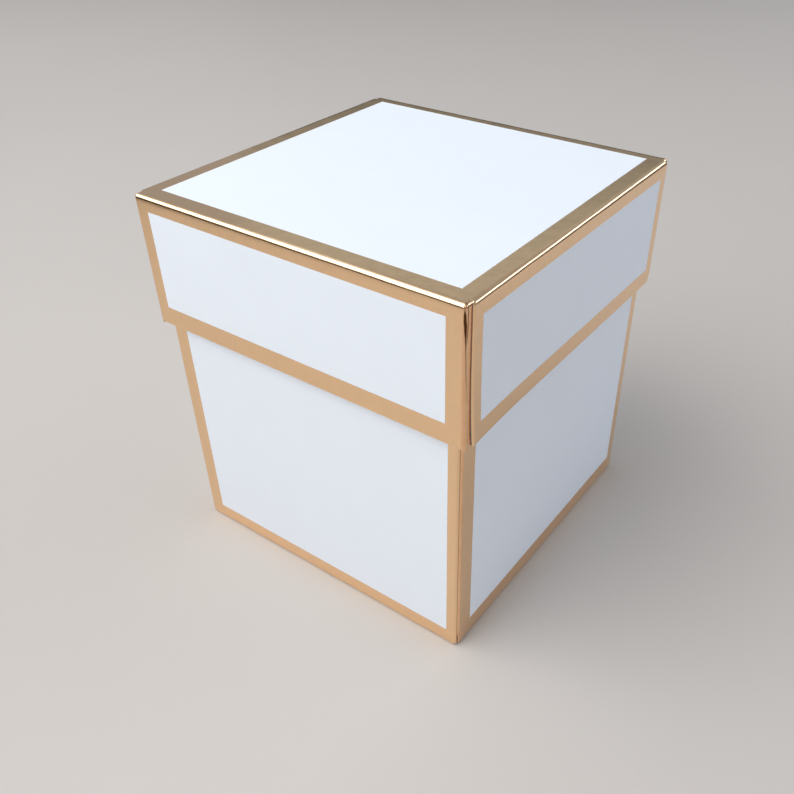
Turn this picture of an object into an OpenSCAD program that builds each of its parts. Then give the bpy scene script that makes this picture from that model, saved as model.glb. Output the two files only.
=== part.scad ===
// Two-piece favor box folded from paperboard, with foil borders.
// The base and the lid are each one die-cut sheet: a panel, four walls that fold up from it, a liner flap that
// each wall rolls over into, and four corner tabs that hold the walls together.
// Millimetres. The origin is the centre of the closed box's underside, +Z is up and -Y is the front.

/* [Box] */
// Outer width of the base, left to right
base_w = 51.05; // [36:0.1:150]
// Outer depth of the base, front to back
base_d = 50.8; // [36:0.1:150]
// Height of the closed box
box_h = 57.15; // [45:0.05:150]
// Height of the lid's walls, from its top face to its rim
lid_depth = 19.45; // [14:0.1:35]

/* [Fit] */
// Clearance on each side between the lid's liners and the base's walls
slip_gap = 0.25; // [0.15:0.05:1]
// Gap between the base's rim and the underside of the lid's top panel
rest_gap = 0.1; // [0.05:0.05:0.5]

/* [Board] */
// Thickness of the paperboard
board_t = 0.35; // [0.25:0.05:0.6]
// Depth that the foil is pressed into the board
foil_t = 0.03; // [0.02:0.01:0.08]
// Inner radius of a right-angle fold
fold_in = 0.1; // [0.05:0.05:0.6]
// Width of the kerf between a covering wall's folds and the corner fold beside them
kerf = 0.08; // [0.04:0.02:0.2]
// Gap between neighbouring liner flaps
flap_gap = 0.1; // [0.05:0.05:0.4]

/* [Corner tabs] */
// Length of a lid tab behind the wall that covers it
lid_tab = 10; // [6:0.5:14]
// Length of a base tab behind the wall that covers it
base_tab = 13; // [6:0.5:14]
// How far a tab narrows towards its free end, at its top and at its bottom
tab_taper = 1.5; // [0:0.1:4]
// Distance from the lid's corners back to the cut edges of the walls that cover its tabs
lid_setback = 1.25; // [0.2:0.05:2.5]
// Distance from the base's corners back to the cut edges of the walls that cover its tabs
base_setback = 0.4; // [0.2:0.05:2.5]

/* [Foil on the lid] */
// Border on the top panel, from its left and right folds to the bare window
top_side_border = 2.25; // [1:0.05:5]
// Border on the top panel, from its front and back folds
top_front_border = 2; // [1:0.05:5]
// Border on the lid's front and back walls, from their corner folds
lid_front_border = 2; // [1:0.05:5]
// Border on the lid's front and back walls, from their top fold
lid_front_upper = 1.65; // [1:0.05:5]
// Border on the lid's front and back walls, from their rolled rim
lid_front_rim = 2.7; // [1:0.05:5]
// Border on the lid's left and right walls, from their cut edges
lid_side_border = 1.6; // [1:0.05:5]
// Border on the lid's left and right walls, from their top fold
lid_side_upper = 1.75; // [1:0.05:5]
// Border on the lid's left and right walls, from their rolled rim
lid_side_rim = 2.45; // [1:0.05:5]
// How far the print on the lid sits to the right of its folds
lid_print_x = -0.15; // [-0.6:0.05:0.6]
// How far the print on the lid's top panel sits behind its folds
lid_print_y = 0.5; // [-0.6:0.05:0.6]
// How far the print on the lid's left and right walls sits behind their middle
lid_side_print_y = 0.1; // [-0.6:0.05:0.6]

/* [Foil on the base] */
// Border under the floor, from its folds to the bare window
floor_border = 2; // [1:0.05:5]
// Border on the base's front and back walls, from their cut edges
base_front_border = 2.05; // [1:0.05:5]
// Border on the base's front and back walls, from their floor fold
base_front_lower = 2.25; // [1:0.05:5]
// Border on the base's left and right walls, from their corner folds
base_side_border = 2.1; // [1:0.05:5]
// Border on the base's left and right walls, from their floor fold
base_side_lower = 2.8; // [1:0.05:5]
// Border on all four base walls, from their rolled rim
base_rim_border = 2.2; // [1:0.05:5]
// How far the print on the base sits to the right of its folds
base_print_x = 0.6; // [-0.6:0.05:0.6]
// How far the print on the base sits behind its folds
base_print_y = 0.5; // [-0.6:0.05:0.6]

/* [Hidden] */
$fn = 48;

// How far a cutting shape runs past what it cuts
overrun = 1;

// Outer radius of a right-angle fold
fold_r = fold_in + board_t;

// A covering wall is three layers thick at its tabs, and a tab-bearing wall two
cover_stack = 3 * board_t;
tab_stack = 2 * board_t;

// The lid slips over the base, outside its walls
lid_w = base_w + 2 * (cover_stack + slip_gap);
lid_d = base_d + 2 * (tab_stack + slip_gap);
base_h = box_h - board_t - rest_gap;

board_white = [0.95, 0.96, 0.97];
foil_gold = [0.78, 0.64, 0.44];

// Both trays are drawn standing on their panel with the covering walls at the ends of the first axis and the
// tab-bearing walls at the ends of the second. A tray is described by
// [length over the covering walls, length over the tab-bearing walls, wall height, setback, tab length].
base_tray = [base_d, base_w, base_h, base_setback, base_tab];
lid_tray = [lid_w, lid_d, lid_depth, lid_setback, lid_tab];

function cover_span(tray) = tray[0];
function tab_span(tray) = tray[1];
function wall_h(tray) = tray[2];

// Flat strip of a tab between its corner fold and the kerf
function strip(tray) = max(kerf, tray[3] - fold_r - kerf);

// Half the length of a covering wall at its fold and its rolled rim, which stay clear of the corner folds
function cover_half(tray) = tab_span(tray) / 2 - fold_r - strip(tray) - kerf;

// Half the length of a covering wall between them, where its ends may overhang the corner folds
function face_half(tray) = tab_span(tray) / 2 - tray[3];

// Half the length of a tab-bearing wall, from the middle to its corner fold
function tab_half(tray) = cover_span(tray) / 2 - board_t - fold_r;

// Half the length of a covering wall's liner, which stays clear of the liners beside it
function liner_half(tray) = min(cover_half(tray), tab_span(tray) / 2 - tab_stack - flap_gap);

// Height at which a liner clears the inside of the wall's fold, for a liner at that depth behind the wall's face
function liner_foot(depth) = fold_r - sqrt(pow(fold_in, 2) - pow(max(0, fold_r - depth), 2));

// Quarter of a ring about the origin, on the negative side of both axes
module quarter_ring(outer_r, inner_r) {
    intersection() {
        difference() {
            circle(r = outer_r);
            circle(r = inner_r);
        }
        translate([-outer_r, -outer_r])
            square([outer_r, outer_r]);
    }
}

// Upper half of a ring about the origin, or of a disc where its inner radius is nothing
module half_ring(outer_r, inner_r) {
    intersection() {
        difference() {
            circle(r = outer_r);
            if (inner_r > 0)
                circle(r = inner_r);
        }
        translate([-outer_r, 0])
            square([2 * outer_r, outer_r]);
    }
}

// Section of a wall's layer between two depths behind its outer face, which is at x = 0: its fold and its rolled rim
module curved_section(height, stack, start, end) {
    rim_r = stack / 2;
    translate([fold_r, fold_r])
        quarter_ring(fold_r - start, fold_r - end);
    translate([rim_r, height - rim_r])
        half_ring(rim_r - start, rim_r - end);
}

// Section of the same layer between the fold and the rim, where it is flat
module flat_section(height, stack, start, end) {
    translate([start, fold_r])
        square([end - start, height - fold_r - stack / 2]);
}

// Runs a section along the tray's second axis, for a covering wall at the low end of the first axis
module along_cover(tray, half) {
    translate([-cover_span(tray) / 2, half, 0])
        rotate([90, 0, 0])
            linear_extrude(height = 2 * half)
                children();
}

// Runs a section along the tray's first axis, for a tab-bearing wall at the low end of the second axis
module along_tab(tray, half) {
    translate([-half, -tab_span(tray) / 2, 0])
        rotate([90, 0, 90])
            linear_extrude(height = 2 * half)
                children();
}

// Height of a wall's bare window. A wall's border is [at its ends, at its fold, at its rim].
function window_h(tray, border, stack) = wall_h(tray) - fold_r - stack / 2 - border[1] - border[2];

// Bare window in a covering wall's foil, from the depth start to the depth end behind its face
module cover_window(tray, border, shift, start, end) {
    half = face_half(tray) - border[0];
    translate([start - cover_span(tray) / 2, shift - half, fold_r + border[1]])
        cube([end - start, 2 * half, window_h(tray, border, cover_stack)]);
}

// The same window in a tab-bearing wall's foil
module tab_window(tray, border, shift, start, end) {
    half = tab_half(tray) - border[0];
    translate([shift - half, start - tab_span(tray) / 2, fold_r + border[1]])
        cube([2 * half, end - start, window_h(tray, border, tab_stack)]);
}

// Layer of a covering wall between two depths behind its outer face
module cover_layer(tray, start, end) {
    along_cover(tray, cover_half(tray))
        curved_section(wall_h(tray), cover_stack, start, end);
    along_cover(tray, face_half(tray))
        flat_section(wall_h(tray), cover_stack, start, end);
}

// Layer of a tab-bearing wall between two depths behind its outer face
module tab_layer(tray, start, end) {
    along_tab(tray, tab_half(tray)) {
        curved_section(wall_h(tray), tab_stack, start, end);
        flat_section(wall_h(tray), tab_stack, start, end);
    }
}

// Covering wall: the board is thinner by the foil's depth wherever the foil lies
module cover_wall(tray, border, shift) {
    cover_layer(tray, foil_t, board_t);
    cover_window(tray, border, shift, 0, board_t);
}

module cover_foil(tray, border, shift) {
    difference() {
        cover_layer(tray, 0, foil_t);
        cover_window(tray, border, shift, -overrun, board_t);
    }
}

module tab_wall(tray, border, shift) {
    tab_layer(tray, foil_t, board_t);
    tab_window(tray, border, shift, 0, board_t);
}

// Foil on a tab-bearing wall runs on round both corner folds, as far as the covering walls' folds
module tab_foil(tray, border, shift) {
    difference() {
        tab_layer(tray, 0, foil_t);
        tab_window(tray, border, shift, -overrun, board_t);
    }
    for (side = [0, 1])
        mirror([side, 0, 0])
            corner_fold(tray, fold_r, fold_r - foil_t);
}

// Corner fold at the low end of both axes, between two radii: the upright fold, the ball corner where it runs into
// the panel, and the flat strip of the tab beside it
module corner_fold(tray, outer_r, inner_r) {
    upright = wall_h(tray) - fold_r;
    translate([board_t + fold_r - cover_span(tray) / 2, fold_r - tab_span(tray) / 2, fold_r]) {
        linear_extrude(height = upright)
            quarter_ring(outer_r, inner_r);
        intersection() {
            difference() {
                sphere(r = outer_r);
                sphere(r = inner_r);
            }
            translate([-outer_r, -outer_r, -outer_r])
                cube([outer_r, outer_r, outer_r]);
        }
        translate([0, strip(tray), 0])
            rotate([90, 0, 0])
                linear_extrude(height = strip(tray)) {
                    quarter_ring(outer_r, inner_r);
                    translate([-outer_r, 0])
                        square([outer_r - inner_r, upright]);
                }
    }
}

// One corner tab with its fold
module corner_tab(tray) {
    low = fold_r;
    high = wall_h(tray) - cover_stack / 2;
    start = fold_r + strip(tray);
    reach = fold_r + tray[4];
    corner_fold(tray, fold_r - foil_t, fold_in);
    translate([board_t - cover_span(tray) / 2, -tab_span(tray) / 2, 0])
        rotate([90, 0, 90])
            linear_extrude(height = board_t)
                polygon([
                    [start, low],
                    [reach, low + tab_taper],
                    [reach, high - tab_taper],
                    [start, high]
                ]);
}

module corner_tabs(tray) {
    for (along = [0, 1], across = [0, 1])
        mirror([along, 0, 0])
            mirror([0, across, 0])
                corner_tab(tray);
}

// Liner flap behind a covering wall, pressed against the tabs
module cover_liner(tray) {
    depth = cover_stack - board_t;
    foot = liner_foot(depth);
    half = liner_half(tray);
    translate([depth - cover_span(tray) / 2, -half, foot])
        cube([board_t, 2 * half, wall_h(tray) - cover_stack / 2 - foot]);
}

// Liner flap flat against the inside of a tab-bearing wall
module tab_liner(tray) {
    depth = tab_stack - board_t;
    foot = liner_foot(depth);
    half = tab_half(tray) - flap_gap;
    translate([-half, depth - tab_span(tray) / 2, foot])
        cube([2 * half, board_t, wall_h(tray) - tab_stack / 2 - foot]);
}

// Half the panel's size between its folds, along each axis
function panel_half(tray) = [cover_span(tray) / 2 - fold_r, tab_span(tray) / 2 - fold_r];

// Outline of the panel between its folds: it is wider along the covering walls' folds than at the corner tabs
module panel_outline(tray) {
    square([2 * tab_half(tray), 2 * panel_half(tray)[1]], center = true);
    square([2 * panel_half(tray)[0], 2 * cover_half(tray)], center = true);
}

// Bare window in the panel's foil. A panel's border is [at its covering walls' folds, at its tab-bearing walls' folds].
module panel_window(tray, border, shift) {
    translate(shift)
        square(2 * (panel_half(tray) - border), center = true);
}

module panel(tray, border, shift) {
    translate([0, 0, foil_t])
        linear_extrude(height = board_t - foil_t)
            panel_outline(tray);
    linear_extrude(height = board_t)
        panel_window(tray, border, shift);
}

module panel_foil(tray, border, shift) {
    linear_extrude(height = foil_t)
        difference() {
            panel_outline(tray);
            panel_window(tray, border, shift);
        }
}

// The base stands on its panel, with its covering walls at the front and back
module place_base() {
    mirror([1, -1, 0])
        children();
}

// The lid hangs from its panel, with its covering walls at the left and right
module place_lid() {
    translate([0, 0, box_h])
        mirror([0, 0, 1])
            children();
}

floor_borders = [floor_border, floor_border];
top_borders = [top_side_border, top_front_border];
base_front_borders = [base_front_border, base_front_lower, base_rim_border];
base_side_borders = [base_side_border, base_side_lower, base_rim_border];
lid_front_borders = [lid_front_border, lid_front_upper, lid_front_rim];
lid_side_borders = [lid_side_border, lid_side_upper, lid_side_rim];

module base_floor() {
    color(board_white)
        place_base()
            panel(base_tray, floor_borders, [base_print_y, base_print_x]);
}

module base_floor_foil() {
    color(foil_gold)
        place_base()
            panel_foil(base_tray, floor_borders, [base_print_y, base_print_x]);
}

module base_corner_tabs() {
    color(board_white)
        place_base()
            corner_tabs(base_tray);
}

module base_front_wall() {
    color(board_white)
        place_base()
            cover_wall(base_tray, base_front_borders, base_print_x);
}

module base_back_wall() {
    color(board_white)
        mirror([0, 1, 0])
            place_base()
                cover_wall(base_tray, base_front_borders, base_print_x);
}

module base_left_wall() {
    color(board_white)
        place_base()
            tab_wall(base_tray, base_side_borders, base_print_y);
}

module base_right_wall() {
    color(board_white)
        mirror([1, 0, 0])
            place_base()
                tab_wall(base_tray, base_side_borders, base_print_y);
}

module base_front_liner() {
    color(board_white)
        place_base()
            cover_liner(base_tray);
}

module base_back_liner() {
    color(board_white)
        mirror([0, 1, 0])
            place_base()
                cover_liner(base_tray);
}

module base_left_liner() {
    color(board_white)
        place_base()
            tab_liner(base_tray);
}

module base_right_liner() {
    color(board_white)
        mirror([1, 0, 0])
            place_base()
                tab_liner(base_tray);
}

module base_front_foil() {
    color(foil_gold)
        place_base()
            cover_foil(base_tray, base_front_borders, base_print_x);
}

module base_back_foil() {
    color(foil_gold)
        mirror([0, 1, 0])
            place_base()
                cover_foil(base_tray, base_front_borders, base_print_x);
}

module base_left_foil() {
    color(foil_gold)
        place_base()
            tab_foil(base_tray, base_side_borders, base_print_y);
}

module base_right_foil() {
    color(foil_gold)
        mirror([1, 0, 0])
            place_base()
                tab_foil(base_tray, base_side_borders, base_print_y);
}

module lid_top_panel() {
    color(board_white)
        place_lid()
            panel(lid_tray, top_borders, [lid_print_x, lid_print_y]);
}

module lid_top_foil() {
    color(foil_gold)
        place_lid()
            panel_foil(lid_tray, top_borders, [lid_print_x, lid_print_y]);
}

module lid_corner_tabs() {
    color(board_white)
        place_lid()
            corner_tabs(lid_tray);
}

module lid_front_wall() {
    color(board_white)
        place_lid()
            tab_wall(lid_tray, lid_front_borders, lid_print_x);
}

module lid_back_wall() {
    color(board_white)
        mirror([0, 1, 0])
            place_lid()
                tab_wall(lid_tray, lid_front_borders, lid_print_x);
}

module lid_left_wall() {
    color(board_white)
        place_lid()
            cover_wall(lid_tray, lid_side_borders, lid_side_print_y);
}

module lid_right_wall() {
    color(board_white)
        mirror([1, 0, 0])
            place_lid()
                cover_wall(lid_tray, lid_side_borders, lid_side_print_y);
}

module lid_front_liner() {
    color(board_white)
        place_lid()
            tab_liner(lid_tray);
}

module lid_back_liner() {
    color(board_white)
        mirror([0, 1, 0])
            place_lid()
                tab_liner(lid_tray);
}

module lid_left_liner() {
    color(board_white)
        place_lid()
            cover_liner(lid_tray);
}

module lid_right_liner() {
    color(board_white)
        mirror([1, 0, 0])
            place_lid()
                cover_liner(lid_tray);
}

module lid_front_foil() {
    color(foil_gold)
        place_lid()
            tab_foil(lid_tray, lid_front_borders, lid_print_x);
}

module lid_back_foil() {
    color(foil_gold)
        mirror([0, 1, 0])
            place_lid()
                tab_foil(lid_tray, lid_front_borders, lid_print_x);
}

module lid_left_foil() {
    color(foil_gold)
        place_lid()
            cover_foil(lid_tray, lid_side_borders, lid_side_print_y);
}

module lid_right_foil() {
    color(foil_gold)
        mirror([1, 0, 0])
            place_lid()
                cover_foil(lid_tray, lid_side_borders, lid_side_print_y);
}

base_floor();
base_floor_foil();
base_corner_tabs();
base_front_wall();
base_back_wall();
base_left_wall();
base_right_wall();
base_front_liner();
base_back_liner();
base_left_liner();
base_right_liner();
base_front_foil();
base_back_foil();
base_left_foil();
base_right_foil();
lid_top_panel();
lid_top_foil();
lid_corner_tabs();
lid_front_wall();
lid_back_wall();
lid_left_wall();
lid_right_wall();
lid_front_liner();
lid_back_liner();
lid_left_liner();
lid_right_liner();
lid_front_foil();
lid_back_foil();
lid_left_foil();
lid_right_foil();
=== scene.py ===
"""Looks of a two-piece favor box: white clay-coated board folded into a base and a lift-off lid, with borders
of hot-stamped gold foil over every fold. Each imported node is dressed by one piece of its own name."""

import math

import bpy
import numpy as np
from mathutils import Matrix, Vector


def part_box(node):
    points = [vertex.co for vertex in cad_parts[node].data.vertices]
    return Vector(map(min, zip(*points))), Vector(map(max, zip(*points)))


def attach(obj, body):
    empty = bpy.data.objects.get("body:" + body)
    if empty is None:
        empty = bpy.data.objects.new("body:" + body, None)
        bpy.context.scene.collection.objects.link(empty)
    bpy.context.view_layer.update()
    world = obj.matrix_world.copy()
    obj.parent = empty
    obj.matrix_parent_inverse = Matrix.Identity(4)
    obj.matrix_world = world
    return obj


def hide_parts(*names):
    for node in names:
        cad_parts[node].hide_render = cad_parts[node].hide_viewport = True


bl_info = {
    "name": "Favor Box",
    "version": (1, 0, 0),
    "blender": (4, 5, 0),
    "location": "3D View > Sidebar > Favor Box",
    "description": "Dresses a folded two-piece favor box in coated board and gold foil",
    "category": "Object",
}

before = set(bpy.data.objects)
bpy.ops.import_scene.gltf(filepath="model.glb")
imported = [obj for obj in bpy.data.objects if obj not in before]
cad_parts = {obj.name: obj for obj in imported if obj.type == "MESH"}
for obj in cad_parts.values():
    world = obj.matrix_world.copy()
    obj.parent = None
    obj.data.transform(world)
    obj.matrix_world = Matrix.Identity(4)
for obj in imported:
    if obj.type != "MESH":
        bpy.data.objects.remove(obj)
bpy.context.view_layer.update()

MM = 0.001
# Places closer than this count as level
TOUCH = 0.002 * MM
# Slack for rounding in a count of steps, and the area in square metres below which there is no face
ROUNDING = 1e-6
NO_AREA = 1e-16
# What a wall just below its fold, and a panel just beside it, still have to turn, and where the points of
# that turn lie, as shares of its width
SETTLED = math.radians(6)
SETTLE_SHARES = (0.15, 0.35, 0.6, 1)
LIFTED = math.radians(8)
LIFT_SHARES = (0.25, 0.5, 0.75, 1)
# How far down its wall a fold reaches, as a share of its radius
DROP_SHARE = 1.28
# Radius of a rim rolled over a tab, and how deep the die presses a cut end, as shares of the board
ROLL_SHARE = 1.5
PRESSED_SHARE = 0.74
# Where the points of a crushed edge lie, as shares of its width
CRUSH_SHARES = (0, 0.2, 0.45, 0.7, 1)
# Where down a fold, as a share of its radius, a covering wall's end begins to reach over the corner; how far
# above the rim it draws in again; and how far from the window it stays as it is
REACH_SHARE = 0.4
DRAWN_IN = 0.5 * MM
WINDOW_MARGIN = 0.3 * MM
# Lengths of a wavering fold's long and short waves, and the long ones' share
WAVE_LENGTHS = (14 * MM, 8 * MM)
LONG_SHARE = 0.6
# Where in its waves each side's fold starts, in radians, so that no two folds stray alike
WAVES = {"front": 0.4, "back": 1.7, "left": 3.1, "right": 4.4}
# How far the opened corner reaches along its wall and in from it, and between which depths it opens; and how
# much of its end the fold holds back, to which share
OPENED_ALONG = 14 * MM
OPENED_INWARD = 2.2 * MM
OPENED_DEPTHS = (7 * MM, 19.2 * MM)
HELD_LENGTH = 1.2 * MM
HELD_SHARE = 0.4
# Largest spacing of the points on walls, on panels, down corner folds, and across the strips beside them
WALL_STEP = 2 * MM
PANEL_STEP = 2.5 * MM
CORNER_STEP = 1 * MM
STRIP_STEP = 0.3 * MM
# Points over a fold, round a corner or a rolled rim, and up a tab
FOLD_POINTS = 15
ROUND_POINTS = 17
TAB_POINTS = 9
# Range of the foil's haze, as shares of its roughness
HAZE_SHARES = (0.7, 1.4)
# Cracks along a corner fold, in millimetres: where they start round the fold, how far they lean with each
# millimetre down it, how long they are, and how wide they gape where the ball corner pulls them open
CRACKS = {"lid": [(0.26, 0.033, 13, 0.13), (0.83, -0.058, 6.5, 0.02)], "base": [(0.4, 0.0, 2.5, 0.03)]}
# Width of a crack's lip, how far it wanders, and between which depths it opens and closes, in millimetres;
# and the share of its length at which it begins to fade
CRACK_LIP = 0.07
WANDER = 0.2
OPENS = (0.5, 1.4)
CLOSES = (2.2, 5.5)
FADES_FROM = 0.7
# Radii of the floor's rings of points, in metres, and the points in each
FLOOR_RINGS = (0.15, 0.6, 2.2)
FLOOR_POINTS = 96
# Each card's middle, its width and height, in metres, and whether it also shades the floor and the box
CARDS = {
    "card_front": ((-0.185, -0.20, 0.05), (0.5, 0.11), True),
    "card_right": ((0.22, 0.24, 0.065), (0.5, 0.14), False),
    "card_back": ((-0.20, 0.57, 0.20), (0.7, 0.40), False),
}
# Share of a card's height at which its spray begins to pale
SPRAYED_FROM = 0.42
TRAYS = [
    ("base", "Base", "The tray that stands below"),
    ("lid", "Lid", "The shallow tray that slips over the base"),
]


def linear(text):
    """An sRGB hex colour as linear red, green and blue."""
    values = [int(text[i:i + 2], 16) / 255 for i in (1, 3, 5)]
    return tuple(v / 12.92 if v <= 0.04045 else ((v + 0.055) / 1.055) ** 2.4 for v in values)


def colour(name, description, text):
    return bpy.props.FloatVectorProperty(
        name=name, description=description, subtype="COLOR", size=3, min=0, max=1, default=linear(text)
    )


def length(name, description, millimetres):
    return bpy.props.FloatProperty(
        name=name, description=description, subtype="DISTANCE", unit="LENGTH", min=0, default=millimetres * MM
    )


def cut_end(name, millimetres):
    return length(name, "Distance from the corner", millimetres)


def factor(name, description, value):
    return bpy.props.FloatProperty(
        name=name, description=description, subtype="FACTOR", min=0, max=1, default=value
    )


def wattage(name, description, watts):
    return bpy.props.FloatProperty(
        name=name, description=description, subtype="POWER", unit="POWER", min=0, default=watts
    )


def location(name, description, metres):
    return bpy.props.FloatVectorProperty(
        name=name, description=description, subtype="TRANSLATION", unit="LENGTH", size=3, default=metres
    )


def extent(name, description, metres):
    return bpy.props.FloatVectorProperty(
        name=name, description=description, unit="LENGTH", size=2, min=0, default=metres
    )


def which_tray():
    return bpy.props.EnumProperty(name="Tray", description="Which half of the box", items=TRAYS)


class FavorBoxBoard(bpy.types.PropertyGroup):
    """Colours of the paperboard."""

    face: colour("Coated face", "Clay-coated outside of the board", "#EBF0F6")
    back: colour("Uncoated back", "Inside of the board, with no coating", "#E6E4DF")
    core: colour("Core", "Cut edge, where the grey pulp in the middle shows", "#CFC8BC")
    face_roughness: factor("Face roughness", "Roughness of the matt clay coating", 0.6)


class FavorBoxFoil(bpy.types.PropertyGroup):
    """Colours and finish of the stamped foil."""

    gold: colour("Gold", "Colour of the foil seen square on", "#F8D1A6")
    copper: colour("Worn gold", "Colour of the foil where it is rubbed and creased", "#EAB184")
    # The crack colour is a painted shade: the dark inside a crack in the foil, where little light gets in
    crack: colour("Crack", "Colour at the bottom of a crack in the foil", "#5A3A22")
    roughness: factor("Roughness", "Roughness of the foil on smooth board", 0.16)
    groove: length("Groove", "Width of the pressed line where the foil meets the bare board", 0.03)


class FavorBoxFolds(bpy.types.PropertyGroup):
    """How this box came out of the folding."""

    waver: length("Wavering fold", "How far a hand-made fold strays along its crease", 0.05)
    crush: length("Crushed edge", "How far from a cut edge the die presses the sheet down", 0.3)
    settle: length("Settled wall", "How far below a fold its wall is still turning", 0.8)
    lift: length("Lifted panel", "How far in from a fold its panel is still turning", 0.45)
    opening: length("Opened corner", "How far the lid's right wall stands out by the front corner", 0.45)
    lid_left_front: cut_end("Lid left wall, front end", 0.45)
    lid_left_back: cut_end("Lid left wall, back end", 1.25)
    lid_right_front: cut_end("Lid right wall, front end", 1.2)
    lid_right_back: cut_end("Lid right wall, back end", 0.7)
    base_front_left: cut_end("Base front wall, left end", 0.4)
    base_front_right: cut_end("Base front wall, right end", 0.22)
    base_back_left: cut_end("Base back wall, left end", 0.35)
    base_back_right: cut_end("Base back wall, right end", 0.4)


class FavorBoxStudio(bpy.types.PropertyGroup):
    """Floor, light and camera."""

    floor: colour("Floor", "Colour of the plain floor", "#CBC3BB")
    sky: colour("Surroundings", "Colour of the light all around", "#F1F7FF")
    sky_strength: bpy.props.FloatProperty(
        name="Surroundings strength", description="Brightness of the light all around", min=0, default=0.41
    )
    key: colour("Soft box", "Colour of the soft box", "#FAFCFF")
    key_power: wattage("Soft box power", "Power of the soft box", 4.25)
    key_size: extent("Soft box size", "Width and height of the soft box", (0.65, 0.65))
    key_place: location("Soft box place", "Middle of the soft box", (-0.25, -0.33, 0.42))
    overhead_power: wattage("Overhead light power", "Power of the light above the box", 0.32)
    overhead_size: extent("Overhead light size", "Width and height of the light above the box", (0.62, 0.34))
    overhead_place: location("Overhead light place", "Middle of the light above the box", (-0.47, 0.13, 0.58))
    rim: colour("Strip light", "Colour of the strip light behind the box", "#E6EEFF")
    rim_power: wattage("Strip light power", "Power of the strip light", 1.5)
    rim_size: extent("Strip light size", "Width and height of the strip light", (0.6, 0.2))
    rim_place: location("Strip light place", "Middle of the strip light behind the box", (0.4, 0.5, 0.25))
    card: colour("Dark cards", "Colour at the foot of the cards beside the box", "#39332E")
    backdrop: colour("Backdrop", "Colour at the foot of the card behind the box", "#6F736F")
    card_top: colour("Top of the cards", "Colour that the cards fade to at their upper edge", "#D2DAD8")
    eye: location("Camera place", "Where the camera stands", (0.068243, -0.090985, 0.100131))
    turn: bpy.props.FloatVectorProperty(
        name="Camera turn", description="Rotation of the camera", subtype="EULER", unit="ROTATION", size=3,
        default=(0.919966, 0.004066, 0.617169),
    )
    lens: bpy.props.FloatProperty(
        name="Focal length", description="Focal length of the camera", unit="CAMERA", min=1, default=38.203
    )
    shift: bpy.props.FloatVectorProperty(
        name="Lens shift", description="Shift of the lens, as a share of the picture's width", size=2,
        default=(-0.044475, 0.036362),
    )


def linked(name, data):
    """A new object of that name in the scene."""
    obj = bpy.data.objects.new(name, data)
    bpy.context.scene.collection.objects.link(obj)
    return obj


# Materials


def feed(tree, node, links):
    """Gives inputs their values, or links them to the sockets, or nodes' first outputs, that feed them."""
    for name, value in links.items():
        source = value.outputs[0] if isinstance(value, bpy.types.Node) else value
        if isinstance(source, bpy.types.NodeSocket):
            tree.links.new(source, node.inputs[name])
        else:
            node.inputs[name].default_value = value


def add(tree, kind, links=(), **settings):
    """Adds a node with its settings and links."""
    node = tree.nodes.new(kind)
    for name, value in settings.items():
        setattr(node, name, value)
    feed(tree, node, dict(links))
    return node


def start_material(name, values):
    """A material of that name, with its tree and its shader, which has those values on its own sockets. One
    that is there already comes alone."""
    material = bpy.data.materials.get(name)
    if material:
        return material, None, None
    material = bpy.data.materials.new(name)
    material.use_nodes = True
    shader = material.node_tree.nodes["Principled BSDF"]
    feed(material.node_tree, shader, values)
    return material, material.node_tree, shader


def grain(millimetres):
    """Scale of a noise, in an object measured in metres, whose blots are about that wide."""
    return 1 / (millimetres * MM)


def shade(rgb, share=1):
    """The colour, opaque and darkened to that share."""
    return (rgb[0] * share, rgb[1] * share, rgb[2] * share, 1)


def blotted(name, values, low, high, size, detail, depth, strength, distortion=0):
    """A material in blots from a low to a high colour, which also stand in relief, in millimetres."""
    material, tree, shader = start_material(name, values)
    if tree is None:
        return material
    place = add(tree, "ShaderNodeTexCoord").outputs["Object"]
    blots = add(
        tree, "ShaderNodeTexNoise",
        {"Vector": place, "Scale": grain(size), "Detail": detail, "Distortion": distortion},
    )
    tint = add(tree, "ShaderNodeMix", {"Factor": blots, 6: low, 7: high}, data_type="RGBA")
    bump = add(tree, "ShaderNodeBump", {"Height": blots, "Distance": depth * MM, "Strength": strength})
    feed(tree, shader, {"Base Color": tint.outputs[2], "Normal": bump})
    return material


def coated_board():
    """Solid bleached board, roller-coated with matt clay: smooth to the hand, faintly cloudy over some 7 mm
    from uneven coat weight, with a tooth of 0.15 mm fibres on a swell of 1.1 mm under the coat."""
    board = bpy.context.scene.favorbox_board
    material, tree, shader = start_material(
        "Bleached board, clay coated", {"Roughness": board.face_roughness, "IOR": 1.5}
    )
    if tree is None:
        return material
    place = add(tree, "ShaderNodeTexCoord").outputs["Object"]
    cloud = add(tree, "ShaderNodeTexNoise", {"Vector": place, "Scale": grain(7.1), "Detail": 3})
    tint = add(
        tree, "ShaderNodeMix",
        {"Factor": cloud, 6: shade(board.face, 0.965), 7: shade(board.face)}, data_type="RGBA",
    )
    tooth = add(tree, "ShaderNodeTexNoise", {"Vector": place, "Scale": grain(0.154), "Detail": 2})
    swell = add(tree, "ShaderNodeTexNoise", {"Vector": place, "Scale": grain(1.11), "Detail": 2})
    low = add(tree, "ShaderNodeBump", {"Height": swell, "Distance": 0.02 * MM, "Strength": 0.35})
    high = add(
        tree, "ShaderNodeBump", {"Height": tooth, "Distance": 0.006 * MM, "Strength": 0.5, "Normal": low}
    )
    feed(tree, shader, {"Base Color": tint.outputs[2], "Normal": high})
    return material


def uncoated_board():
    """Back of the same board as it left the paper machine: no clay, so the fibres lie open, duller and a
    little warmer. Fibres are drawn 0.3 mm wide, coarser than real ones, so that they show."""
    back = bpy.context.scene.favorbox_board.back
    return blotted(
        "Bleached board, uncoated back", {"Roughness": 0.85, "IOR": 1.47}, shade(back, 0.9), shade(back),
        size=0.303, detail=4, depth=0.03, strength=0.5, distortion=1.5,
    )


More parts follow.
